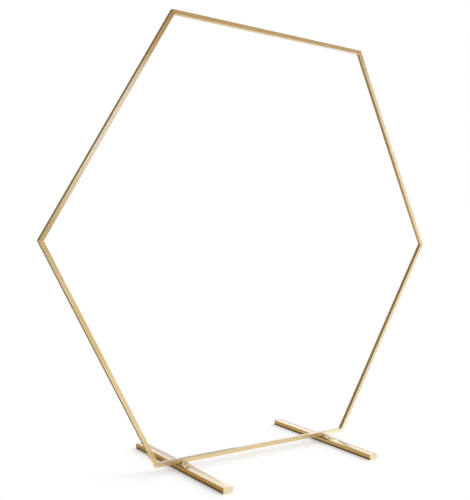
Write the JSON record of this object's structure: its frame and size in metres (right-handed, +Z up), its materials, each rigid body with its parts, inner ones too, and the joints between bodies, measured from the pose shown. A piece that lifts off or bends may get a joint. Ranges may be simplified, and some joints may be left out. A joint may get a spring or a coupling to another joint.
{
  "type": "backdrop stand",
  "caption": "Free-standing hexagonal ring of slim square metal tube in satin gold, upright on flat cross feet, for hanging event backdrops, flowers or balloons.",
  "frame": {"origin": "on the floor, under the middle of the ring", "axes": "+X to the right along the bottom rail seen from the front, +Y from front to back, +Z up. The bolts are on the front, -Y, side of the bottom rail."},
  "size_m": [2.3094, 0.72, 2.029],
  "materials": {
    "ring": "satin pale gold",
    "feet": "satin pale gold",
    "plates": "satin pale gold",
    "caps": "gold",
    "bolts": "plated",
    "nut_bars": "plated"
  },
  "bodies": {
    "root": {"upper_right_rail": "ring", "top_rail": "ring", "upper_left_rail": "ring", "lower_left_rail": "ring", "bottom_rail": "ring", "lower_right_rail": "ring", "right_corner": "ring", "top_right_corner": "ring", "top_left_corner": "ring", "left_corner": "ring", "bottom_left_corner": "ring", "bottom_right_corner": "ring", "left_foot": "feet", "right_foot": "feet", "left_mounting_plate": "plates", "right_mounting_plate": "plates", "left_foot_front_cap": "caps", "left_foot_rear_cap": "caps", "right_foot_front_cap": "caps", "right_foot_rear_cap": "caps", "left_front_bolt": "bolts", "left_rear_bolt": "bolts", "right_front_bolt": "bolts", "right_rear_bolt": "bolts", "left_foot_nut_bar": "nut_bars", "right_foot_nut_bar": "nut_bars"}
  },
  "joints": []
}
